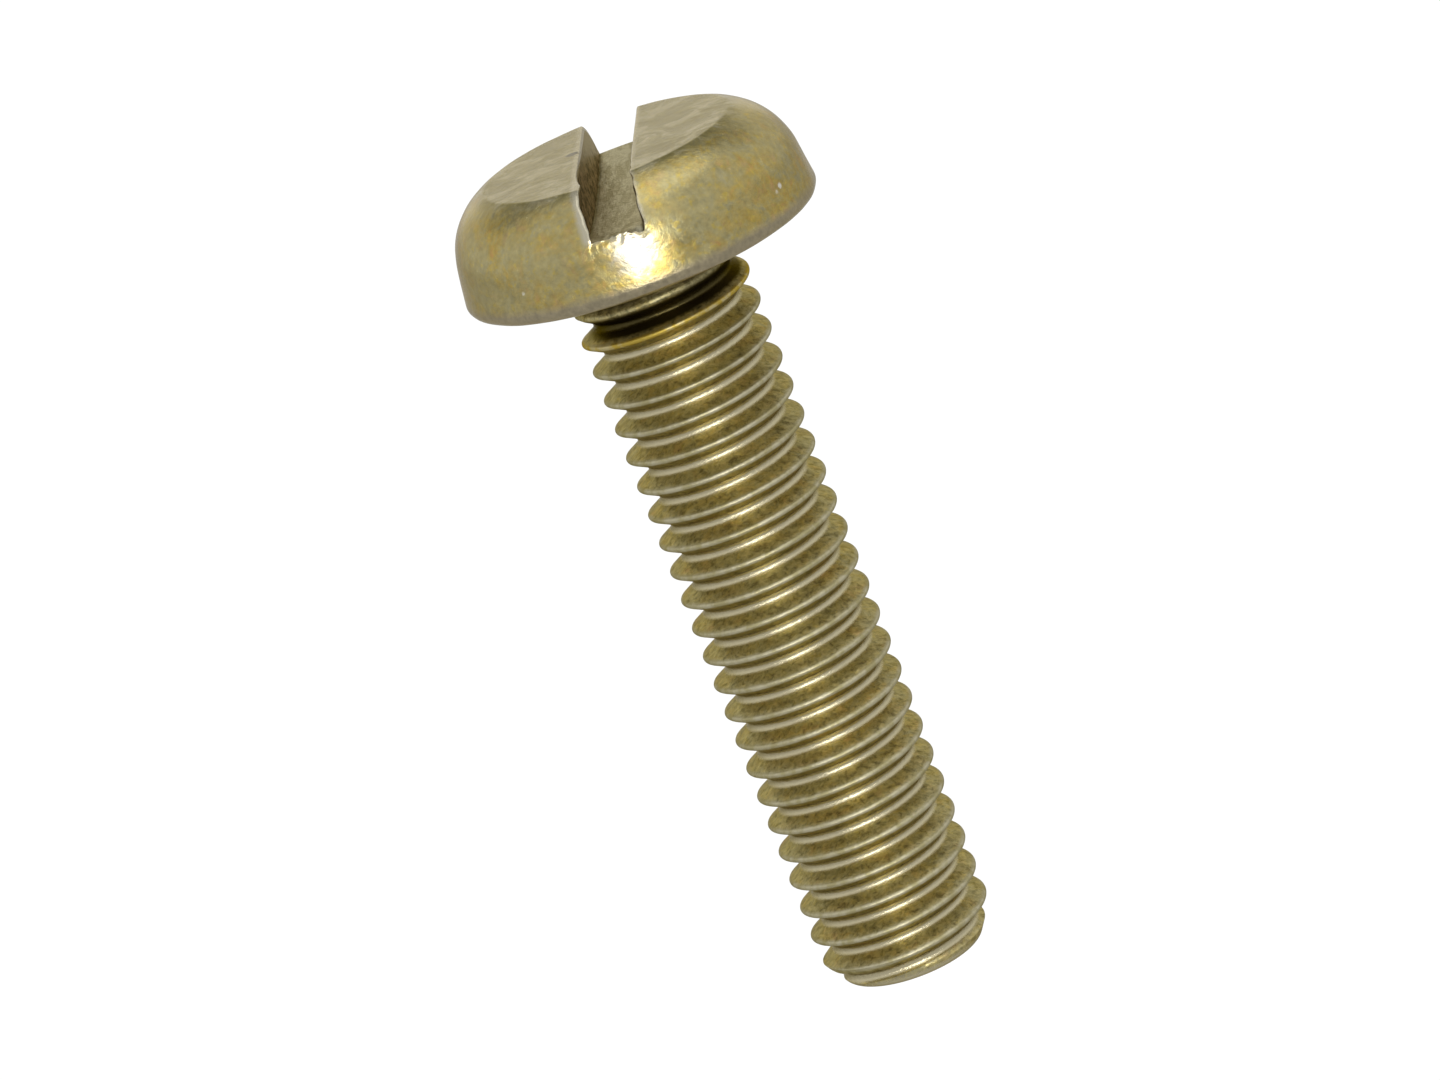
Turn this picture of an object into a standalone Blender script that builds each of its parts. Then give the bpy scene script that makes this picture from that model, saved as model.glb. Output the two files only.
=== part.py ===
"""Slotted pan head machine screw, M6 x 1 x 25, made from one piece of plated steel.

The screw stands on its axis. The bearing plane, the flat underside of the head, is z = 0, and the slot
runs along Y. The head has a short plain neck, and the threaded shank goes on from the neck's end. Sizes are
in millimetres, and MM turns them into metres.
"""

import math

import bmesh
import bpy
from mathutils import Matrix, Vector

MM = 0.001

# Thread
PITCH = 1.0
CREST_DIAMETER = 5.8
CREST_FLAT = PITCH / 8
ROOT_FLAT = PITCH / 4
FLANK_ANGLE = math.radians(30)  # from the plane square to the axis
THREAD_DEPTH = (PITCH - CREST_FLAT - ROOT_FLAT) / 2 / math.tan(FLANK_ANGLE)
CREST_AT_PLUS_X = -0.69  # height of a crest on the +X side
BLANK_DIAMETER = 5.2  # the rod before its thread was rolled
STEPS_PER_TURN = 32

# Shank
LENGTH = 25.0  # from the bearing plane to the end face
RUNOUT_BOTTOM = -1.5  # the thread fades out from this height up to the neck
POINT_DIAMETER = 4.5
POINT_TAPER = 0.63  # radius gained for each millimetre above the end face

# Head
HEAD_DIAMETER = 11.7
HEAD_HEIGHT = 3.5
TOP_DIAMETER = 8.2  # of the flat top, up to the crease where the shoulder falls away
SHOULDER_RADIUS = 2.4
SIDE_TAPER = math.radians(7.9)
LOWER_EDGE_RADIUS = 0.36
NECK_LENGTH = 0.6
NECK_FILLET = 0.35
HEAD_STEPS = 64

# Slot
SLOT_WIDTH = 1.8
SLOT_DEPTH = 1.4
CUTTER_OVERRUN = 1.0  # how far the slot's cutter stands clear of the head

# Finish
SMOOTH_BELOW = math.radians(25)  # edges sharper than this stay sharp in the shading
CORNER_STEPS = 4
SHOULDER_STEPS = 7


def clear_scene():
    for obj in list(bpy.data.objects):
        bpy.data.objects.remove(obj, do_unlink=True)


def plated_steel(name, colour, roughness):
    material = bpy.data.materials.new(name)
    material.use_nodes = True
    shader = material.node_tree.nodes["Principled BSDF"]
    shader.inputs["Base Color"].default_value = (*colour, 1.0)
    shader.inputs["Metallic"].default_value = 1.0
    shader.inputs["Roughness"].default_value = roughness
    material.diffuse_color = (*colour, 1.0)
    return material


def object_from(mesh_maker, name, material):
    """A closed mesh in metres, from a bmesh in millimetres."""
    bmesh.ops.scale(mesh_maker, vec=(MM, MM, MM), verts=mesh_maker.verts)
    bmesh.ops.recalc_face_normals(mesh_maker, faces=mesh_maker.faces)
    mesh = bpy.data.meshes.new(name)
    mesh_maker.to_mesh(mesh)
    mesh_maker.free()
    mesh.shade_smooth()
    mesh.set_sharp_from_angle(angle=SMOOTH_BELOW)
    mesh.materials.append(material)
    obj = bpy.data.objects.new(name, mesh)
    bpy.context.scene.collection.objects.link(obj)
    return obj


def rounded_corner(before, corner, after, radius, steps):
    """Points of the arc that rounds an outer corner of an outline of (radius, height) points."""
    corner = Vector(corner)
    to_before = (Vector(before) - corner).normalized()
    to_after = (Vector(after) - corner).normalized()
    half_opening = to_before.angle(to_after) / 2
    centre = corner + (to_before + to_after).normalized() * (radius / math.sin(half_opening))
    first_spoke = corner + to_before * (radius / math.tan(half_opening)) - centre
    step_angle = (math.pi - 2 * half_opening) / steps
    spokes = [Matrix.Rotation(step_angle * step, 2) @ first_spoke for step in range(steps + 1)]
    return [tuple(centre + spoke) for spoke in spokes]


def shoulder(foot, side, top_edge, steps):
    """Points of the arc that leaves the head's side smoothly and ends in a crease at the edge of the flat top.

    foot is a point on the side and side is the side's direction. The arc's centre is SHOULDER_RADIUS away
    from both the side and the top's edge.
    """
    inward = Vector((-side.y, side.x))
    from_edge = foot + inward * SHOULDER_RADIUS - top_edge
    along = from_edge.dot(side)
    rise = -along - math.sqrt(along**2 - from_edge.length_squared + SHOULDER_RADIUS**2)
    centre = foot + side * rise + inward * SHOULDER_RADIUS
    first_spoke = -inward * SHOULDER_RADIUS
    turn = first_spoke.angle(top_edge - centre)
    spokes = [Matrix.Rotation(turn * step / steps, 2) @ first_spoke for step in range(steps + 1)]
    return [tuple(centre + spoke) for spoke in spokes]


def neck_outline():
    """The neck's end, its side, and the fillet that turns it into the head's underside."""
    neck_radius = BLANK_DIAMETER / 2
    fillet_centre = (neck_radius + NECK_FILLET, -NECK_FILLET)
    angles = [math.pi - math.pi / 2 * step / CORNER_STEPS for step in range(CORNER_STEPS + 1)]
    fillet = [
        (fillet_centre[0] + NECK_FILLET * math.cos(a), fillet_centre[1] + NECK_FILLET * math.sin(a))
        for a in angles
    ]
    return [(0.0, -NECK_LENGTH), (neck_radius, -NECK_LENGTH), *fillet]


def head_outline():
    """The turned outline of the head, from the middle of its neck's end to the middle of its top."""
    underside = (BLANK_DIAMETER / 2, 0.0)
    side = Vector((-math.sin(SIDE_TAPER), math.cos(SIDE_TAPER)))
    side_angle = math.pi / 2 - SIDE_TAPER
    edge_overhang = LOWER_EDGE_RADIUS * (1 / math.tan(side_angle / 2) - 1)
    lower_corner = Vector((HEAD_DIAMETER / 2 + edge_overhang, 0.0))
    top_edge = Vector((TOP_DIAMETER / 2, HEAD_HEIGHT))
    upper_side = lower_corner + side
    lower_edge = rounded_corner(underside, lower_corner, upper_side, LOWER_EDGE_RADIUS, CORNER_STEPS)
    upper_edge = shoulder(lower_corner, side, top_edge, SHOULDER_STEPS)
    return [*neck_outline(), *lower_edge, *upper_edge, (0.0, HEAD_HEIGHT)]


def turned(outline, steps):
    """A bmesh of an outline spun about Z. Its two ends lie on the axis."""
    maker = bmesh.new()
    verts = [maker.verts.new((radius, 0.0, height)) for radius, height in outline]
    edges = [maker.edges.new(pair) for pair in zip(verts, verts[1:])]
    bmesh.ops.spin(
        maker,
        geom=verts + edges,
        cent=(0, 0, 0),
        axis=(0, 0, 1),
        angle=2 * math.pi,
        steps=steps,
        use_merge=True,
    )
    bmesh.ops.remove_doubles(maker, verts=maker.verts, dist=1e-5)
    return maker


def cut_slot(head):
    """Saws the screwdriver slot across the head, right through both sides."""
    top = HEAD_HEIGHT + CUTTER_OVERRUN
    floor = HEAD_HEIGHT - SLOT_DEPTH
    length = HEAD_DIAMETER + 2 * CUTTER_OVERRUN
    maker = bmesh.new()
    bmesh.ops.create_cube(maker, size=1.0)
    bmesh.ops.scale(maker, vec=(SLOT_WIDTH, length, top - floor), verts=maker.verts)
    bmesh.ops.translate(maker, vec=(0, 0, (top + floor) / 2), verts=maker.verts)
    cutter = object_from(maker, "slot_cutter", head.active_material)
    cutter.hide_render = True
    cutter.display_type = "WIRE"
    cut = head.modifiers.new("slot", "BOOLEAN")
    cut.operation = "DIFFERENCE"
    cut.solver = "EXACT"
    cut.object = cutter


def make_head():
    golden = plated_steel("head_plating", (0.32, 0.26, 0.12), 0.35)
    head = object_from(turned(head_outline(), HEAD_STEPS), "head", golden)
    cut_slot(head)


def thread_radius(turns_from_crest):
    """Radius of the full thread, at a distance along the axis from a crest, in pitches."""
    from_crest = abs((turns_from_crest + 0.5) % 1.0 - 0.5) * PITCH
    drop = (from_crest - CREST_FLAT / 2) / math.tan(FLANK_ANGLE)
    return CREST_DIAMETER / 2 - min(max(drop, 0.0), THREAD_DEPTH)


def shank_radius(turn, height):
    """Radius of the shank at an angle about Z, in turns from +X, and at a height."""
    formed = min(max((height + NECK_LENGTH) / (RUNOUT_BOTTOM + NECK_LENGTH), 0.0), 1.0)
    threaded = thread_radius((height - CREST_AT_PLUS_X) / PITCH - turn)
    radius = BLANK_DIAMETER / 2 * (1 - formed) + threaded * formed
    return min(radius, POINT_DIAMETER / 2 + POINT_TAPER * (height + LENGTH))


def shank_heights(turn):
    """Heights where the thread's outline has its corners, at an angle about Z, in turns from +X.

    They climb a pitch in each turn, so that every edge of the mesh follows the helix. They run past
    both ends of the shank, and are then held to its length.
    """
    corners = (-CREST_FLAT / 2, CREST_FLAT / 2, PITCH / 2 - ROOT_FLAT / 2, PITCH / 2 + ROOT_FLAT / 2)
    first_crest = CREST_AT_PLUS_X + PITCH * turn - PITCH * math.ceil(LENGTH / PITCH + 1)
    crests = [first_crest + PITCH * count for count in range(math.ceil(LENGTH / PITCH) + 4)]
    heights = [crest + corner for crest in crests for corner in corners]
    return [min(max(height, -LENGTH), -NECK_LENGTH) for height in heights]


def make_threaded_shank():
    golden = plated_steel("thread_plating", (0.30, 0.25, 0.10), 0.3)
    corners_per_turn = 4
    maker = bmesh.new()
    columns = []
    for step in range(STEPS_PER_TURN):
        turn = step / STEPS_PER_TURN
        angle = 2 * math.pi * turn
        column = []
        for height in shank_heights(turn):
            radius = shank_radius(turn, height)
            column.append(maker.verts.new((radius * math.cos(angle), radius * math.sin(angle), height)))
        columns.append(column)
    columns.append(columns[0][corners_per_turn:])
    for left, right in zip(columns, columns[1:]):
        for low in range(min(len(left), len(right)) - 1):
            maker.faces.new((left[low], right[low], right[low + 1], left[low + 1]))
    bmesh.ops.remove_doubles(maker, verts=maker.verts, dist=1e-5)
    loose = [vert for vert in maker.verts if not vert.link_faces]
    bmesh.ops.delete(maker, geom=loose, context="VERTS")
    bmesh.ops.holes_fill(maker, edges=[edge for edge in maker.edges if edge.is_boundary])
    object_from(maker, "threaded_shank", golden)


clear_scene()
make_head()
make_threaded_shank()
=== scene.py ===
"""Looks of the slotted pan head machine screw: its rolled thread, its sawn slot and its golden plating.

The screw stands on its axis and the bearing plane, the flat underside of the head, is z = 0. The slot runs
along Y. Sizes are in millimetres, and MM turns them into metres. A turn is an angle about Z from +X, with
1.0 for the full circle.
"""

import math

import bmesh
import bpy
from mathutils import Matrix, Vector, noise


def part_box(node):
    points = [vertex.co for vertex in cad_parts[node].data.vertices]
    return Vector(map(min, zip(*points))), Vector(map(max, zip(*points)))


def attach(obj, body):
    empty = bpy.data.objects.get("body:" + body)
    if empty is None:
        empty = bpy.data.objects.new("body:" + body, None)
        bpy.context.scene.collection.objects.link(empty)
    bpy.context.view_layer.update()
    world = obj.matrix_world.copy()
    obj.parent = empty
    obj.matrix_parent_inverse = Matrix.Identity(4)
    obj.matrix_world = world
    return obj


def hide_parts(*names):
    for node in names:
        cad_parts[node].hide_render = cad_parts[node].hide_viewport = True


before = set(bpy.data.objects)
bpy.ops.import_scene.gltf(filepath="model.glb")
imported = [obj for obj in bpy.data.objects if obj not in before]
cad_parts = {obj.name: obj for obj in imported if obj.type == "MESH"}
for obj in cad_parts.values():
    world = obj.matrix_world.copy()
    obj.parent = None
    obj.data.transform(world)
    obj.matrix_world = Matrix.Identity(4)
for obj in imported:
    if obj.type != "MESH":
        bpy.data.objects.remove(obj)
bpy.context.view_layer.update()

MM = 0.001
MERGE_DISTANCE = 1e-5
SHARP_ABOVE = math.radians(50)  # edges sharper than this stay sharp in the shading
head_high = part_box("head")[1]
shank_low, shank_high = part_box("threaded_shank")

# Thread
PITCH = 1.0
CREST_RADIUS = shank_high.x / MM
CREST_ROUNDING = 0.10
ROOT_ROUNDING = 0.20
FLANK_ANGLE = math.radians(30)  # from the plane square to the axis
FLANK_SLOPE = 1 / math.tan(FLANK_ANGLE)  # radius lost for each millimetre along the axis
ROOT_RADIUS = CREST_RADIUS + CREST_ROUNDING + ROOT_ROUNDING - PITCH / 2 * FLANK_SLOPE
CREST_AT_PLUS_X = -0.69
BLANK_RADIUS = 2.6
TURN_STEPS = 150

# Shank
LENGTH = -shank_low.z / MM
NECK_END = shank_high.z / MM
RUNOUT_BOTTOM = -1.5
SHADED_BOTTOM = -1.9  # the thread's grooves are darkened with painted shade from here up
POINT_RADIUS = 2.25
POINT_TAPER = 0.63
RIM_ROUNDING = 0.18
RIM_STEPS = 6
END_FACE_SHARES = (0.97, 0.9, 0.75, 0.5, 0.25)  # rings of the end face, as shares of its radius

# Head
HEAD_RADIUS = head_high.x / MM
HEAD_HEIGHT = head_high.z / MM
TOP_RADIUS = 4.1
CREASE_ROUNDING = 0.3
SHOULDER_RADIUS = 2.4
SHOULDER_STEPS = 40
SIDE_TAPER = math.radians(7.9)
LOWER_EDGE_RADIUS = 0.36
NECK_FILLET = 0.35
NECK_FILLET_STEPS = 8
EAR_STEPS = 240  # round each half of the head beside the slot

# Slot
SLOT_WIDTH = 1.8
HALF_SLOT = SLOT_WIDTH / 2
SLOT_DEPTH = 1.4
SLOT_FLOOR = HEAD_HEIGHT - SLOT_DEPTH
FLOOR_SAG = 0.2  # the saw's round edge cuts deeper in the middle of the slot than at its ends
FLOOR_FILLET = 0.03
LIP_ROUNDING = 0.08
LIP = HALF_SLOT + LIP_ROUNDING  # half the slot's width where it meets the head's outside
BULGE_LENGTH = 1.5  # how far in from the floor's end the slot's rows still follow the head's round
LIP_STEPS = 4
WALL_STEPS = 16
FILLET_STEPS = 3
FLOOR_STEPS = 14

# Wear
SIDE_WAVES = 0.010
SIDE_WAVELENGTH = 0.9
TOP_WAVES = 0.006
TOP_WAVELENGTH = 1.1
LEFT_OVERHANG = 0.16  # how far the left lip is pushed over the slot
RIGHT_SPREAD = 0.04  # how far the right lip is pushed away from it
LEFT_BURR = 0.05  # how far the burrs along the lips stand out of the head's side
RIGHT_BURR = 0.03
BURR_DEPTH = 0.30  # how far below the head's outside the lips are bent
FLOOR_REACH = 5.6  # from the axis to the front end of the slot's floor, whose edge is torn
TEAR_WIDTH = 0.22
TEAR_RELIEF = 0.04
TORN_CORNER = Vector((0.85, -5.52, SLOT_FLOOR))  # where the floor's right front corner is pulled down
CORNER_WIDTH = 0.28
CORNER_PULL = Vector((-0.05, -0.03, -0.14))
RUBBED_HIGHLIGHT_PATCH = (0.35, -5.6, 1.5)  # where the plating is rubbed silvery and a painted highlight whitens the head, below the front of the slot
PIT_SHADE_AND_NICKS = (  # a pit on the top beside the slot, painted as a dark spot of shade, then nicks in the side: place, radius and colour
    ((-1.12, 0.7, HEAD_HEIGHT), 0.20, (0.03, 0.025, 0.015)),
    ((5.00, -2.75, 1.20), 0.07, (0.75, 0.72, 0.62)),
    ((4.85, -3.00, 1.10), 0.05, (0.75, 0.72, 0.62)),
    ((-3.4, -4.6, 1.1), 0.04, (0.70, 0.66, 0.50)),
)

# Camera, from the middle of the screw towards its place
AZIMUTH = math.radians(7.31)
ELEVATION = math.radians(15.91)
ROLL = math.radians(21.07)
DISTANCE = 276.7
AIM = Vector((-1.056, 0.0, -9.745))
LENS = 218.5

# Studio, with a brightness of 1 for plain white
SEEN_BRIGHTNESS = 1.05
ROOM_BRIGHTNESS = 0.8
GAP_BRIGHTNESS = 0.35
FLOOR_BRIGHTNESS = 0.58
FLOOR_SIDE = 10000.0
FLOOR_CLEARANCE = 0.2
LIGHT_DISTANCE = 600.0
LIGHTS = (  # name, azimuth from the camera's, elevation, half width and half height in degrees, radiance
    ("front_softbox", -3, 10, 11, 8, 9.0),
    ("front_strip", 12, 46, 11, 27, 0.55),
    ("overhead", 70, 72, 18, 18, 0.7),
    ("rear_reflector", 180, 9, 22, 9, 0.3),
)

# Metal
GLANCING_TINT = (0.70, 0.62, 0.42)
DULL_TINT = (0.50, 0.45, 0.30)
GLOSS_FILM = 0.45  # share of the passivation's clear gloss on the head
FILM_ROUGHNESS = 0.2
LIP_SILVER = (0.50, 0.46, 0.34)


def weld(maker):
    """Merges verts that coincide and deletes those that no face is left on."""
    bmesh.ops.remove_doubles(maker, verts=maker.verts, dist=MERGE_DISTANCE)
    loose = [vert for vert in maker.verts if not vert.link_faces]
    bmesh.ops.delete(maker, geom=loose, context="VERTS")


def mesh_object(name, maker, material_list):
    """A smooth-shaded object in metres, from a bmesh in millimetres."""
    weld(maker)
    bmesh.ops.recalc_face_normals(maker, faces=maker.faces)
    bmesh.ops.scale(maker, vec=(MM, MM, MM), verts=maker.verts)
    mesh = bpy.data.meshes.new(name)
    maker.to_mesh(mesh)
    maker.free()
    mesh.shade_smooth()
    mesh.set_sharp_from_angle(angle=SHARP_ABOVE)
    for material in material_list:
        mesh.materials.append(material)
    obj = bpy.data.objects.new(name, mesh)
    bpy.context.scene.collection.objects.link(obj)
    return obj


def skin(maker, rows, material_indices=None):
    """Faces between neighbouring rows of verts, with a material for each strip of faces along the rows."""
    for row, next_row in zip(rows, rows[1:]):
        for left in range(min(len(row), len(next_row)) - 1):
            face = maker.faces.new((row[left], row[left + 1], next_row[left + 1], next_row[left]))
            face.material_index = material_indices[left] if material_indices else 0


def smooth_step(value, start, end):
    """0 up to start and 1 from end on, with a smooth rise between them."""
    share = min(max((value - start) / (end - start), 0.0), 1.0)
    return share * share * (3 - 2 * share)


# ---------------------------------------------------------------- shank


def thread_radius(from_crest):
    """Radius of the full thread at a distance along the axis from the middle of a crest."""
    sharp_crest = CREST_RADIUS + CREST_ROUNDING
    sharp_root = sharp_crest - PITCH / 2 * FLANK_SLOPE
    from_root = PITCH / 2 - from_crest
    if from_crest < CREST_ROUNDING * math.cos(FLANK_ANGLE):
        return sharp_crest - 2 * CREST_ROUNDING + math.sqrt(CREST_ROUNDING**2 - from_crest**2)
    if from_root < ROOT_ROUNDING * math.cos(FLANK_ANGLE):
        return sharp_root + 2 * ROOT_ROUNDING - math.sqrt(ROOT_ROUNDING**2 - from_root**2)
    return sharp_crest - from_crest * FLANK_SLOPE


def thread_offsets():
    """Distances along the axis from one crest to the next at which the thread's outline is sampled."""
    crest_arc = [CREST_ROUNDING * math.sin(math.radians(a)) for a in (0, 15, 30, 45, 60)]
    root_arc = [PITCH / 2 - ROOT_ROUNDING * math.sin(math.radians(a)) for a in (60, 45, 30, 15, 0)]
    rising = [*crest_arc, (crest_arc[-1] + root_arc[0]) / 2, *root_arc]
    falling = [PITCH - offset for offset in reversed(rising[1:-1])]
    return [*rising, *falling]


def shank_radius(turn, height):
    """Radius of the shank at an angle and a height: the run-out under the neck, the thread and the point."""
    formed = min(max((height - NECK_END) / (RUNOUT_BOTTOM - NECK_END), 0.0), 1.0)
    turns_from_crest = (height - CREST_AT_PLUS_X) / PITCH - turn
    from_crest = abs((turns_from_crest + 0.5) % 1.0 - 0.5) * PITCH
    radius = BLANK_RADIUS * (1 - formed) + thread_radius(from_crest) * formed
    above_end = height + LENGTH
    point = POINT_RADIUS + POINT_TAPER * above_end
    if above_end < RIM_ROUNDING:
        point -= RIM_ROUNDING - math.sqrt(RIM_ROUNDING**2 - (RIM_ROUNDING - above_end) ** 2)
    return min(radius, point)


def make_shank(material):
    offsets = thread_offsets()
    rim_top = -LENGTH + RIM_ROUNDING
    first_crest = CREST_AT_PLUS_X - PITCH * math.ceil(LENGTH / PITCH + 1)
    crests = [first_crest + PITCH * count for count in range(math.ceil(LENGTH / PITCH) + 4)]
    heights = [crest + offset for crest in crests for offset in offsets]
    rim_angles = [math.pi / 2 * k / RIM_STEPS for k in range(RIM_STEPS + 1)]
    rim_heights = [-LENGTH + RIM_ROUNDING * (1 - math.sin(angle)) for angle in rim_angles]
    maker = bmesh.new()
    columns, rim_columns = [], []
    for step in range(TURN_STEPS):
        turn = step / TURN_STEPS
        spoke = Vector((math.cos(2 * math.pi * turn), math.sin(2 * math.pi * turn), 0.0))
        column = []
        for height in heights:
            z = min(max(height + PITCH * turn, rim_top), NECK_END)
            column.append(maker.verts.new(spoke * shank_radius(turn, z) + Vector((0, 0, z))))
        columns.append(column)
        rim = [maker.verts.new(spoke * shank_radius(turn, z) + Vector((0, 0, z))) for z in rim_heights]
        end_radius = shank_radius(turn, -LENGTH)
        rim += [maker.verts.new(spoke * end_radius * s - Vector((0, 0, LENGTH))) for s in END_FACE_SHARES]
        rim_columns.append(rim)
    columns.append(columns[0][len(offsets):])
    rim_columns.append(rim_columns[0])
    skin(maker, columns)
    skin(maker, rim_columns)
    weld(maker)
    bmesh.ops.holes_fill(maker, edges=[edge for edge in maker.edges if edge.is_boundary])
    return mesh_object("screw_thread", maker, [material])


# ---------------------------------------------------------------- head


def rounded_corner(before, corner, after, radius, steps):
    """Points of the arc that rounds an outer corner of an outline of (radius, height) points."""
    corner = Vector(corner)
    to_before = (Vector(before) - corner).normalized()
    to_after = (Vector(after) - corner).normalized()
    half_opening = to_before.angle(to_after) / 2
    centre = corner + (to_before + to_after).normalized() * (radius / math.sin(half_opening))
    first_spoke = corner + to_before * (radius / math.tan(half_opening)) - centre
    step_angle = (math.pi - 2 * half_opening) / steps
    spokes = [Matrix.Rotation(step_angle * step, 2) @ first_spoke for step in range(steps + 1)]
    return [centre + spoke for spoke in spokes]


def line(start, end, steps):
    """Points after the start of a straight line, up to its end."""
    start, end = Vector(start), Vector(end)
    return [start.lerp(end, k / steps) for k in range(1, steps + 1)]


def shoulder(foot, side, top_edge):
    """Points of the arc that leaves the side smoothly and meets the flat top in a crease.

    foot is a point on the side and side is the side's direction. The arc's centre is SHOULDER_RADIUS away
    from both the side and the top's edge.
    """
    inward = Vector((-side.y, side.x))
    from_edge = foot + inward * SHOULDER_RADIUS - top_edge
    along = from_edge.dot(side)
    rise = -along - math.sqrt(along**2 - from_edge.length_squared + SHOULDER_RADIUS**2)
    centre = foot + side * rise + inward * SHOULDER_RADIUS
    first_spoke = -inward * SHOULDER_RADIUS
    step_angle = first_spoke.angle(top_edge - centre) / SHOULDER_STEPS
    spokes = [Matrix.Rotation(step_angle * k, 2) @ first_spoke for k in range(SHOULDER_STEPS + 1)]
    return [centre + spoke for spoke in spokes]


def head_outline():
    """The head's turned outline, as (radius, height) points from the neck's end to the middle of the top."""
    fillet_centre = Vector((BLANK_RADIUS + NECK_FILLET, -NECK_FILLET))
    quarter = math.pi / 2
    fillet_angles = [math.pi - quarter * k / NECK_FILLET_STEPS for k in range(NECK_FILLET_STEPS + 1)]
    fillet = [fillet_centre + NECK_FILLET * Vector((math.cos(a), math.sin(a))) for a in fillet_angles]
    side = Vector((-math.sin(SIDE_TAPER), math.cos(SIDE_TAPER)))
    side_angle = math.pi / 2 - SIDE_TAPER
    edge_overhang = LOWER_EDGE_RADIUS * (1 / math.tan(side_angle / 2) - 1)
    lower_corner = Vector((HEAD_RADIUS + edge_overhang, 0.0))
    top_edge = Vector((TOP_RADIUS, HEAD_HEIGHT))
    top_centre = Vector((0.0, HEAD_HEIGHT))
    upper_side = lower_corner + side
    lower_edge = rounded_corner(fillet[-1], lower_corner, upper_side, LOWER_EDGE_RADIUS, steps=10)
    upper_edge = shoulder(lower_corner, side, top_edge)
    crease = rounded_corner(upper_edge[-2], top_edge, top_centre, CREASE_ROUNDING, steps=5)
    return [
        Vector((BLANK_RADIUS, NECK_END)),
        *line((BLANK_RADIUS, NECK_END), fillet[0], steps=3),
        *fillet[1:],
        *line(fillet[-1], lower_edge[0], steps=16),
        *lower_edge[1:],
        *line(lower_edge[-1], upper_edge[0], steps=14),
        *upper_edge[1:-1],
        *crease,
        *line(crease[-1], top_centre, steps=36),
    ]


def split_outline(outline):
    """The outline up to the slot's floor, and from there up to where the slot's lip crosses the axis."""
    above = next(k for k, point in enumerate(outline) if point.y > SLOT_FLOOR)
    before, after = outline[above - 1], outline[above]
    at_floor = before.lerp(after, (SLOT_FLOOR - before.y) / (after.y - before.y))
    last = next(k for k, point in enumerate(outline) if k > above and point.x < LIP)
    before, after = outline[last - 1], outline[last]
    at_lip = before.lerp(after, (before.x - LIP) / (before.x - after.x))
    return [*outline[:above], at_floor], [at_floor, *outline[above:last], at_lip]


def slot_section():
    """How a section across the slot runs from lip to lip: (x, kind, share of that kind) for each point."""
    section = []
    for k in range(LIP_STEPS + 1):
        angle = math.pi / 2 * k / LIP_STEPS
        section.append((HALF_SLOT + LIP_ROUNDING * (1 - math.sin(angle)), "lip", 1 - math.cos(angle)))
    section += [(HALF_SLOT, "wall", k / WALL_STEPS) for k in range(1, WALL_STEPS + 1)]
    for k in range(1, FILLET_STEPS + 1):
        angle = math.pi / 2 * k / FILLET_STEPS
        section.append((HALF_SLOT - FLOOR_FILLET * (1 - math.cos(angle)), "fillet", math.sin(angle)))
    inner = HALF_SLOT - FLOOR_FILLET
    section += [(inner - inner * k / FLOOR_STEPS, "floor", 1.0) for k in range(1, FLOOR_STEPS + 1)]
    mirrored = [(-x, kind, share) for x, kind, share in reversed(section[:-1])]
    return [*section, *mirrored]


def slot_row(section, radius, height, inward, front, end_radius):
    """One row of points across the slot. end_radius is the head's radius where the slot's floor ends."""
    depth = height - SLOT_FLOOR
    rounding = LIP_ROUNDING * min(depth / (3 * LIP_ROUNDING), 1.0)
    fillet = FLOOR_FILLET * min(depth / (3 * FLOOR_FILLET), 1.0)
    reach = smooth_step(end_radius - radius, BULGE_LENGTH, 0.0)
    floor = SLOT_FLOOR - FLOOR_SAG * (1 - (radius / end_radius) ** 2)
    lip_reach = math.sqrt(max(radius**2 - LIP**2, 0.0))
    wall_top = height + rounding * inward.y
    wall_y = -lip_reach - rounding * inward.x
    row = []
    for x, kind, share in section:
        bulge = (math.sqrt(max(radius**2 - x**2, 0.0)) - lip_reach) * reach
        if kind == "lip":
            y, z = -lip_reach - rounding * share * inward.x, height + rounding * share * inward.y
        elif kind == "wall":
            y, z = wall_y, wall_top + (floor + fillet - wall_top) * share
        else:
            y, z = wall_y, floor + fillet * (1 - share)
        y -= bulge
        row.append(Vector((x, y if front else -y, z)))
    return row


def unevenness(co, wavelength):
    """A smooth random value from about -1 to 1."""
    return noise.noise(co / wavelength) * 2


def near(distance, width):
    """1 at no distance, falling away smoothly over a width."""
    return math.exp(-((distance / width) ** 2))


def torn_edge(co, outward):
    """How far the saw has torn a point near the front end of the slot's floor."""
    torn = near(math.hypot(co.y + FLOOR_REACH, co.z - SLOT_FLOOR), TEAR_WIDTH)
    torn *= smooth_step(abs(co.x), HALF_SLOT + 0.3, HALF_SLOT)
    lift = TEAR_RELIEF * (unevenness(co, 0.16) + 0.75 * unevenness(co, 0.4))
    push = TEAR_RELIEF * 0.75 * unevenness(co + Vector((0, 0, 5)), 0.14)
    pulled = near((co - TORN_CORNER).length, CORNER_WIDTH) * (1 + 0.3 * unevenness(co, 0.12))
    return (Vector((0, 0, lift)) + outward * push) * torn + CORNER_PULL * pulled


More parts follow.
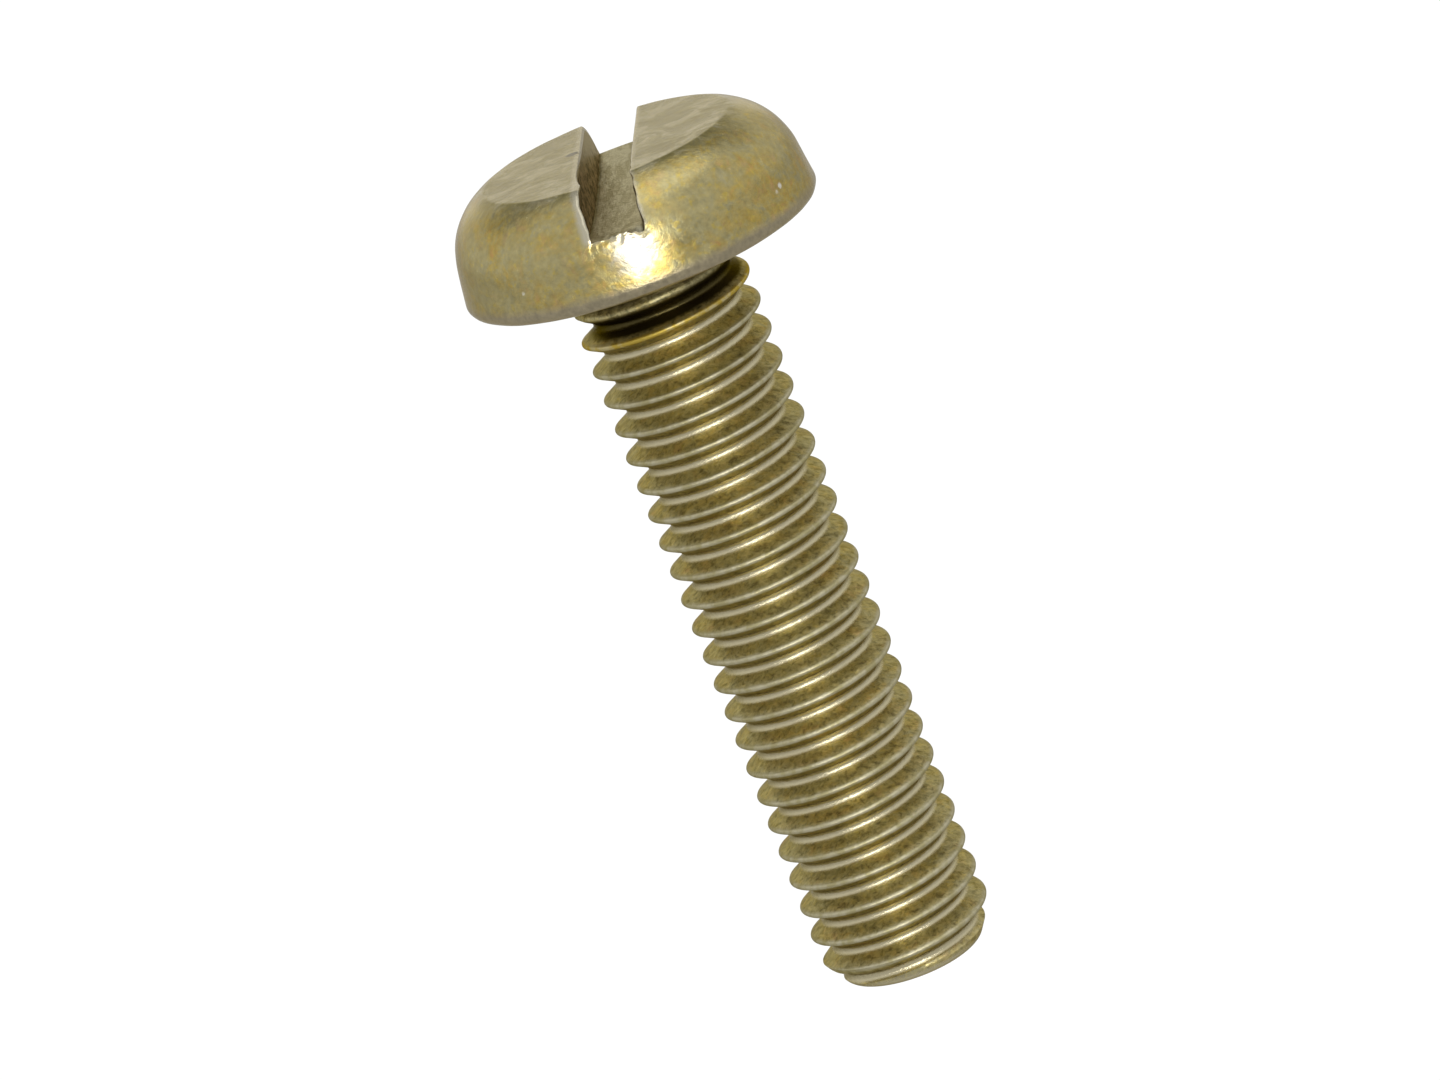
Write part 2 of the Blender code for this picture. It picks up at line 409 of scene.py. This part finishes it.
def burred_lips(co, depth, radius, outward):
    """How far the lips are bent and burred towards the front of the slot."""
    from_left, from_right = co.x + HALF_SLOT, co.x - HALF_SLOT
    bent = smooth_step(radius, 2.0, 3.9) * near(depth, BURR_DEPTH)
    bent *= smooth_step(co.z, SLOT_FLOOR - 0.2, SLOT_FLOOR + 0.1)
    sideways = (LEFT_OVERHANG + 0.04 * unevenness(co, 0.4)) * near(from_left, 0.12)
    sideways += (RIGHT_SPREAD + 0.05 * unevenness(co, 0.5)) * near(from_right, 0.10)
    on_side = smooth_step(co.z, SLOT_FLOOR, SLOT_FLOOR + 0.15)
    on_side *= smooth_step(radius, TOP_RADIUS - 0.6, TOP_RADIUS + 0.2)
    burr = LEFT_BURR * near(from_left + 0.04, 0.08) * (1 + 0.4 * unevenness(co, 0.3))
    burr += RIGHT_BURR * near(from_right - 0.06, 0.06) * unevenness(co, 0.2)
    return Vector((sideways * bent, 0, 0)) + outward * burr * on_side


def worn(co, depth=0.0):
    """Where a point of the new head ends up: a wavy surface, and wear at the front end of the slot.

    depth is how far a point of the slot lies below the head's outside.
    """
    radius = math.hypot(co.x, co.y)
    outward = Vector((co.x, co.y, 0.0)) / max(radius, 0.1)
    on_side = smooth_step(radius, 3.0, 3.6)
    on_top = smooth_step(co.z, 3.2, HEAD_HEIGHT)
    moved = co + outward * SIDE_WAVES * unevenness(co, SIDE_WAVELENGTH) * on_side
    moved.z += TOP_WAVES * unevenness(co + Vector((9, 0, 0)), TOP_WAVELENGTH) * on_top
    if co.y > 0:
        return moved
    return moved + burred_lips(co, depth, radius, outward) + torn_edge(co, outward)


def make_head(plating, wall, floor):
    lower, upper = split_outline(head_outline())
    section = slot_section()
    floor_radius = upper[0].x
    section_turns = [math.asin(x / floor_radius) for x, kind, share in section]
    maker = bmesh.new()

    def ring_angles(edge):
        """Angles from the front, -Y, towards +X: right ear, slot's back, left ear and slot's front."""
        ear = [edge + (math.pi - 2 * edge) * k / EAR_STEPS for k in range(EAR_STEPS)]
        back = [math.pi - a for a in section_turns[:-1]]
        left = [a + math.pi for a in ear]
        front = [2 * math.pi + a for a in section_turns[:0:-1]]
        return ear, back, left, front

    def on_ring(point, angle):
        co = Vector((point.x * math.sin(angle), -point.x * math.cos(angle), point.y))
        return maker.verts.new(worn(co))

    edge = math.asin(LIP / floor_radius)
    rings = []
    for point in lower:
        angles = [a for part in ring_angles(edge) for a in part]
        ring = [on_ring(point, a) for a in angles]
        rings.append([*ring, ring[0]])
    skin(maker, rings)
    maker.faces.new(rings[0][:-1])

    ears = {1: [], -1: []}
    front_rows, back_rows = [], []
    for index, point in enumerate(upper):
        before, after = upper[max(index - 1, 0)], upper[min(index + 1, len(upper) - 1)]
        along = (after - before).normalized()
        inward = Vector((-abs(along.y), -abs(along.x)))
        edge = math.asin(min(LIP / point.x, 1.0))
        for side in ears:
            row = []
            for k in range(EAR_STEPS + 1):
                angle = edge + (math.pi - 2 * edge) * k / EAR_STEPS
                row.append(on_ring(point, side * angle))
            ears[side].append(row)
        for rows, front in ((front_rows, True), (back_rows, False)):
            row = slot_row(section, point.x, point.y, inward, front, floor_radius)
            rows.append([maker.verts.new(worn(co, point.y - co.z)) for co in row])
    for side in ears:
        skin(maker, ears[side])
    rows = [*front_rows, *reversed(back_rows)]
    # A strip between two kinds is floor if either is, or else it takes the lip's plating.
    indices = {"lip": 0, "wall": 1, "fillet": 2, "floor": 2}
    kinds = [indices[kind] for x, kind, share in section]
    strips = [max(pair) if 2 in pair else min(pair) for pair in zip(kinds, kinds[1:])]
    skin(maker, rows, strips)
    return mesh_object("screw_head", maker, [plating, wall, floor])


# ---------------------------------------------------------------- materials


class Nodes:
    """Adds nodes to a material or a world and links them."""

    def __init__(self, owner):
        owner.use_nodes = True
        self.tree = owner.node_tree
        self.tree.nodes.clear()

    def add(self, kind, inputs=(), **settings):
        node = self.tree.nodes.new(kind)
        for name, value in settings.items():
            setattr(node, name, value)
        for name, value in dict(inputs).items():
            if isinstance(value, bpy.types.NodeSocket):
                self.tree.links.new(value, node.inputs[name])
            else:
                node.inputs[name].default_value = value
        return node

    def ramp(self, value, stops):
        node = self.add("ShaderNodeValToRGB", {"Fac": value})
        elements = node.color_ramp.elements
        while len(elements) < len(stops):
            elements.new(0.5)
        for element, (position, colour) in zip(elements, stops):
            element.position = position
            element.color = (*colour, 1.0)
        return node.outputs["Color"]

    def mix(self, share, first, second, blend_type="MIX"):
        node = self.add("ShaderNodeMix", data_type="RGBA", blend_type=blend_type)
        for socket, value in ((node.inputs[0], share), (node.inputs[6], first), (node.inputs[7], second)):
            if isinstance(value, bpy.types.NodeSocket):
                self.tree.links.new(value, socket)
            elif isinstance(value, tuple):
                socket.default_value = (*value, 1.0)
            else:
                socket.default_value = value
        return node.outputs[2]

    def maths(self, operation, first, second=0.0):
        return self.add("ShaderNodeMath", {0: first, 1: second}, operation=operation).outputs[0]

    def times(self, first, second):
        return self.maths("MULTIPLY", first, second)

    def plus(self, first, second):
        return self.maths("ADD", first, second)

    def parts(self, vector):
        """The X, Y and Z of a vector, by name."""
        return self.add("ShaderNodeSeparateXYZ", {0: vector}).outputs

    def distance(self, where, place):
        node = self.add("ShaderNodeVectorMath", {0: where, 1: place}, operation="DISTANCE")
        return node.outputs["Value"]

    def noise(self, where, scale, detail=3.0, roughness=0.55, distortion=0.0):
        inputs = {"Vector": where, "Scale": scale, "Detail": detail, "Roughness": roughness}
        node = self.add("ShaderNodeTexNoise", {**inputs, "Distortion": distortion})
        return node.outputs["Fac"]

    def spread(self, value, low, high):
        """A value from 0 to 1 turned into one from low to high."""
        node = self.add("ShaderNodeMapRange", {"Value": value, "To Min": low, "To Max": high})
        return node.outputs[0]

    def step(self, value, start, end):
        """0 up to start and 1 from end on."""
        node = self.add("ShaderNodeMapRange", {"Value": value, "From Min": start, "From Max": end})
        return node.outputs[0]

    def millimetres(self, stretch=(1.0, 1.0, 1.0)):
        """The surface point in millimetres, stretched along each axis."""
        coordinates = self.add("ShaderNodeTexCoord").outputs["Object"]
        scale = [1 / MM / s for s in stretch]
        node = self.add("ShaderNodeVectorMath", {0: coordinates, 1: scale}, operation="MULTIPLY")
        return node.outputs[0]


def finish_metal(nodes, colour, roughness, height, distance, tint, film=0.0):
    """The shader of every face of the screw. tint colours grazing reflections, and film is clear gloss."""
    bump = nodes.add("ShaderNodeBump", {"Height": height, "Strength": 1.0, "Distance": distance * MM})
    shader = nodes.add(
        "ShaderNodeBsdfPrincipled",
        {"Base Color": colour, "Roughness": roughness, "Metallic": 1.0, "Normal": bump.outputs[0]},
    )
    shader.inputs["Specular Tint"].default_value = (*tint, 1.0)
    shader.inputs["Coat Weight"].default_value = film
    shader.inputs["Coat Roughness"].default_value = FILM_ROUGHNESS
    output = nodes.add("ShaderNodeOutputMaterial")
    nodes.tree.links.new(shader.outputs[0], output.inputs[0])


def grey(value):
    return (value, value, value)


def passivation(nodes, where):
    """Yellow passivation: golden with grey-green, orange and lemon mottling."""
    patches = nodes.noise(where, 0.55, 3.0, 0.6, 0.8)
    mottle = nodes.noise(where, 1.6, 5.0, 0.66, 0.5)
    flecks = nodes.noise(where, 4.2, 3.0, 0.6, 0.3)
    golden = [(0.36, (0.39, 0.345, 0.18)), (0.47, (0.43, 0.345, 0.12))]
    orange = [(0.56, (0.46, 0.33, 0.07)), (0.66, (0.50, 0.30, 0.09))]
    dull_share = nodes.ramp(patches, [(0.40, grey(0.8)), (0.60, grey(0.1))])
    colour = nodes.mix(dull_share, nodes.ramp(mottle, golden + orange), (0.39, 0.345, 0.17))
    fleck_share = nodes.ramp(flecks, [(0.56, grey(0.0)), (0.70, grey(0.7))])
    return nodes.mix(fleck_share, colour, (0.50, 0.38, 0.07))


def start_material(name):
    material = bpy.data.materials.new(name)
    return material, Nodes(material)


def head_material():
    """The head's plating: golden round the side, greyer on the flat top, rubbed silvery along the lips, with
    wear and painted highlight below the slot's front and a pit of painted shade.
    """
    material, nodes = start_material("head_plating_look")
    where = nodes.millimetres()
    place = nodes.parts(where)
    grain = nodes.noise(where, 4.5, 5.0, 0.62)

    wavy_height = nodes.plus(place["Z"], nodes.times(grain, 0.16))
    on_top = nodes.step(wavy_height, HEAD_HEIGHT - 0.12, HEAD_HEIGHT + 0.06)
    low_down = nodes.step(wavy_height, 0.70, 0.45)
    rubs = nodes.noise(nodes.millimetres((1.3, 1.0, 1.0)), 0.9, 6.0, 0.68, 1.2)
    dull, olive, pale = (0.25, 0.215, 0.08), (0.30, 0.26, 0.105), (0.41, 0.375, 0.23)
    top = nodes.ramp(rubs, [(0.42, dull), (0.50, olive), (0.58, pale)])
    colour = nodes.mix(on_top, passivation(nodes, where), top)
    colour = nodes.mix(low_down, colour, (0.37, 0.315, 0.20))
    shade = nodes.ramp(grain, [(0.32, grey(0.84)), (0.68, grey(1.14))])
    colour = nodes.mix(1.0, colour, shade, "MULTIPLY")

    across = nodes.plus(nodes.maths("ABSOLUTE", place["X"]), nodes.times(grain, 0.20))
    on_lip = nodes.step(across, HALF_SLOT + 0.30, HALF_SLOT + 0.14)
    above_floor = nodes.step(place["Z"], SLOT_FLOOR - 0.1, SLOT_FLOOR + 0.1)
    colour = nodes.mix(nodes.times(on_lip, above_floor), colour, LIP_SILVER)
    # Wear and painted highlight: a silvery patch where the front highlight falls below the slot.
    from_highlight_patch = nodes.plus(nodes.distance(where, RUBBED_HIGHLIGHT_PATCH), grain)
    colour = nodes.mix(nodes.step(from_highlight_patch, 1.45, 0.85), colour, (0.50, 0.465, 0.37))
    # The first mark is painted shade standing in for a pit. The others are nicks in the plating.
    for mark_place, radius, mark_colour in PIT_SHADE_AND_NICKS:
        from_mark = nodes.plus(nodes.distance(where, mark_place), nodes.times(grain, 0.2))
        colour = nodes.mix(nodes.step(from_mark, radius + 0.14, radius + 0.08), colour, mark_colour)

    scratches = nodes.noise(nodes.millimetres((3.0, 0.6, 1.0)), 2.6, 5.0, 0.66, 1.2)
    relief = nodes.plus(nodes.noise(where, 4.5, 6.0, 0.68), nodes.times(scratches, on_top))
    finish_metal(nodes, colour, nodes.spread(grain, 0.12, 0.34), relief, 0.016, GLANCING_TINT, GLOSS_FILM)
    return material


def thread_material():
    """The thread's plating: dull and blotched in the flanks, silvery on the crests, painted highlight in the
    roots, painted shade in the grooves under the head.
    """
    material, nodes = start_material("thread_plating_look")
    where = nodes.millimetres()
    height = nodes.parts(where)["Z"]
    flat = nodes.add("ShaderNodeVectorMath", {0: where, 1: (1.0, 1.0, 0.0)}, operation="MULTIPLY").outputs[0]
    radius = nodes.add("ShaderNodeVectorMath", {0: flat}, operation="LENGTH").outputs["Value"]
    grain = nodes.noise(where, 4.5, 6.0, 0.74, 0.5)
    wear = nodes.noise(where, 2.2, 4.0, 0.65)
    wavy_radius = nodes.plus(radius, nodes.times(nodes.maths("SUBTRACT", grain, 0.5), 0.14))
    on_crest = nodes.step(wavy_radius, CREST_RADIUS - 0.13, CREST_RADIUS - 0.03)
    root_highlight = nodes.step(wavy_radius, ROOT_RADIUS + 0.10, ROOT_RADIUS + 0.03)

    dull = nodes.mix(0.45, passivation(nodes, where), (0.46, 0.41, 0.23))
    shade = nodes.ramp(grain, [(0.36, grey(0.50)), (0.50, grey(1.08)), (0.66, grey(1.50))])
    dull = nodes.mix(1.0, dull, shade, "MULTIPLY")
    silver = nodes.ramp(wear, [(0.4, (0.42, 0.375, 0.20)), (0.6, (0.55, 0.51, 0.35))])
    colour = nodes.mix(on_crest, dull, silver)
    # Painted highlight: the roots are made pale and silvery where their bright line of reflection falls.
    colour = nodes.mix(root_highlight, colour, (0.58, 0.52, 0.34))

    gilded = nodes.mix(nodes.step(wear, 0.45, 0.60), (0.52, 0.38, 0.07), (0.58, 0.50, 0.26))
    next_to_head = nodes.step(height, SHADED_BOTTOM + 0.5, SHADED_BOTTOM + 0.7)
    gilded = nodes.mix(next_to_head, gilded, (0.60, 0.55, 0.38))
    under_head = nodes.step(height, SHADED_BOTTOM - 0.5, SHADED_BOTTOM - 0.3)
    colour = nodes.mix(nodes.times(under_head, on_crest), colour, gilded)
    # Painted shade: the grooves under the head, which the head shadows, are darkened to near black.
    groove_shade_mask = nodes.step(wavy_radius, BLANK_RADIUS + 0.16, BLANK_RADIUS + 0.02)
    shaded = nodes.step(height, SHADED_BOTTOM - 0.1, SHADED_BOTTOM + 0.1)
    colour = nodes.mix(nodes.times(groove_shade_mask, shaded), colour, (0.07, 0.055, 0.02))

    roughness = nodes.mix(on_crest, nodes.spread(grain, 0.22, 0.42), grey(0.38))
    roughness = nodes.mix(root_highlight, roughness, grey(0.22))
    finish_metal(nodes, colour, roughness, nodes.noise(where, 5.0, 6.0, 0.72), 0.022, DULL_TINT)
    return material


def sawn_face(nodes, where, dark, light, stretch):
    """Marks along the slot, blots, and the colour that both make between dark and light."""
    marks = nodes.noise(nodes.millimetres((1.0, stretch, 1.0)), 4.0, 5.0, 0.68)
    blots = nodes.noise(where, 5.0, 4.0, 0.66, 0.4)
    colour = nodes.ramp(marks, [(0.42, dark), (0.56, light)])
    blot_share = nodes.ramp(blots, [(0.50, grey(0.0)), (0.58, grey(0.6))])
    return marks, blots, nodes.mix(blot_share, colour, dark)


def wall_material():
    """The slot's walls: brown streaks, and painted shade that darkens all but their far upper part."""
    material, nodes = start_material("slot_wall_look")
    where = nodes.millimetres()
    place = nodes.parts(where)
    marks, blots, colour = sawn_face(nodes, where, (0.08, 0.055, 0.035), (0.62, 0.49, 0.36), stretch=1.5)
    # Painted shade: the walls stay dark deep in the slot and turn lighter towards the top and the far end.
    rise = nodes.plus(place["Z"], nodes.times(place["Y"], 0.2))
    wavy_rise = nodes.plus(rise, nodes.times(marks, 0.6))
    wall_unshaded = nodes.step(wavy_rise, SLOT_FLOOR + 1.1, SLOT_FLOOR + 1.8)
    colour = nodes.mix(wall_unshaded, colour, (0.42, 0.37, 0.25))
    finish_metal(nodes, colour, 0.32, nodes.plus(marks, blots), 0.030, GLANCING_TINT)
    return material


def floor_material():
    """The slot's floor, with painted shade in the corners along the walls, and rough near the front."""
    material, nodes = start_material("slot_floor_look")
    where = nodes.millimetres()
    place = nodes.parts(where)
    marks, blots, colour = sawn_face(nodes, where, (0.40, 0.37, 0.25), (0.60, 0.57, 0.42), stretch=5.0)
    # Painted shade: a dark line along both walls, where they shadow the floor.
    across = nodes.plus(nodes.maths("ABSOLUTE", place["X"]), nodes.times(blots, 0.10))
    corner_shade = nodes.step(across, HALF_SLOT - 0.06, HALF_SLOT + 0.04)
    colour = nodes.mix(corner_shade, colour, (0.09, 0.075, 0.04))
    near_front = nodes.step(place["Y"], -3.6, -5.0)
    stains = nodes.step(nodes.noise(where, 3.0, 5.0, 0.68, 0.8), 0.50, 0.62)
    stains = nodes.times(stains, nodes.times(near_front, 0.6))
    colour = nodes.mix(stains, colour, (0.16, 0.13, 0.07))
    finish_metal(nodes, colour, 0.36, nodes.plus(marks, nodes.times(blots, 1.6)), 0.030, GLANCING_TINT)
    return material


# ---------------------------------------------------------------- studio


def white_material():
    """Paper that is lit to plain white, and reflects less than it shows."""
    material, nodes = start_material("white_paper")
    seen = nodes.add("ShaderNodeLightPath").outputs["Is Camera Ray"]
    strength = nodes.spread(seen, FLOOR_BRIGHTNESS, SEEN_BRIGHTNESS)
    shader = nodes.add("ShaderNodeEmission", {"Color": (1.0, 1.0, 1.0, 1.0), "Strength": strength})
    output = nodes.add("ShaderNodeOutputMaterial")
    nodes.tree.links.new(shader.outputs[0], output.inputs[0])
    return material


def make_world():
    """A white room for the camera. In reflections it is greyer, with a dark gap above what stands behind."""
    world = bpy.data.worlds.new("studio")
    nodes = Nodes(world)
    seen = nodes.add("ShaderNodeLightPath").outputs["Is Camera Ray"]
    towards = nodes.add("ShaderNodeTexCoord").outputs["Generated"]
    backwards = -direction(AZIMUTH, 0.0)
    behind = nodes.add("ShaderNodeVectorMath", {0: towards, 1: backwards}, operation="DOT_PRODUCT")
    at_back = nodes.step(behind.outputs["Value"], 0.30, 0.50)
    gap_edges = [(0.45, grey(0.0)), (0.60, grey(1.0)), (0.80, grey(1.0)), (0.90, grey(0.0))]
    in_gap = nodes.times(nodes.ramp(nodes.parts(towards)["Z"], gap_edges), at_back)
    room = nodes.mix(in_gap, grey(ROOM_BRIGHTNESS), grey(GAP_BRIGHTNESS))
    colour = nodes.mix(seen, room, grey(SEEN_BRIGHTNESS))
    background = nodes.add("ShaderNodeBackground", {"Color": colour, "Strength": 1.0})
    output = nodes.add("ShaderNodeOutputWorld")
    nodes.tree.links.new(background.outputs[0], output.inputs[0])
    bpy.context.scene.world = world


def make_floor():
    maker = bmesh.new()
    bmesh.ops.create_grid(maker, x_segments=1, y_segments=1, size=FLOOR_SIDE / 2 * MM)
    bmesh.ops.translate(maker, vec=(0, 0, shank_low.z - FLOOR_CLEARANCE * MM), verts=maker.verts)
    mesh = bpy.data.meshes.new("floor")
    maker.to_mesh(mesh)
    maker.free()
    mesh.materials.append(white_material())
    floor = bpy.data.objects.new("floor", mesh)
    bpy.context.scene.collection.objects.link(floor)


def direction(azimuth, elevation):
    """The unit vector from the screw towards a place, with azimuth 0 at -Y and 90 degrees at +X."""
    flat = math.cos(elevation)
    return Vector((math.sin(azimuth) * flat, -math.cos(azimuth) * flat, math.sin(elevation)))


def make_light(name, azimuth, elevation, half_width, half_height, brightness):
    """A softbox that faces the head, placed and sized in degrees as seen from it.

    brightness is its radiance. The azimuth counts from the camera's.
    """
    distance = LIGHT_DISTANCE * MM
    width, height = (2 * distance * math.tan(math.radians(half)) for half in (half_width, half_height))
    light = bpy.data.lights.new(name, "AREA")
    light.shape = "RECTANGLE"
    light.size, light.size_y = width, height
    light.energy = brightness * math.pi * width * height
    obj = bpy.data.objects.new(name, light)
    towards = direction(AZIMUTH + math.radians(azimuth), math.radians(elevation))
    obj.location = towards * distance
    obj.rotation_mode = "QUATERNION"
    obj.rotation_quaternion = towards.to_track_quat("Z", "Y")
    obj.visible_camera = False
    bpy.context.scene.collection.objects.link(obj)


def make_camera():
    back = direction(AZIMUTH, ELEVATION)
    level_right = Vector((math.cos(AZIMUTH), math.sin(AZIMUTH), 0.0))
    level_up = back.cross(level_right)
    right = math.cos(ROLL) * level_right - math.sin(ROLL) * level_up
    up = back.cross(right)
    data = bpy.data.cameras.new("camera")
    data.lens = LENS
    data.sensor_width = 36.0
    data.clip_start = 0.01
    data.clip_end = 100.0
    camera = bpy.data.objects.new("camera", data)
    axes = Matrix((right, up, back)).transposed()
    camera.matrix_world = Matrix.Translation((AIM + back * DISTANCE) * MM) @ axes.to_4x4()
    bpy.context.scene.collection.objects.link(camera)
    bpy.context.scene.camera = camera


make_camera()
make_world()
make_floor()
for light_settings in LIGHTS:
    make_light(*light_settings)

head = make_head(head_material(), wall_material(), floor_material())
thread = make_shank(thread_material())
for piece, node, slot in ((head, "head", "head_plating"), (thread, "threaded_shank", "thread_plating")):
    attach(piece, "root")
    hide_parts(node)

bpy.context.scene.view_settings.view_transform = "Standard"
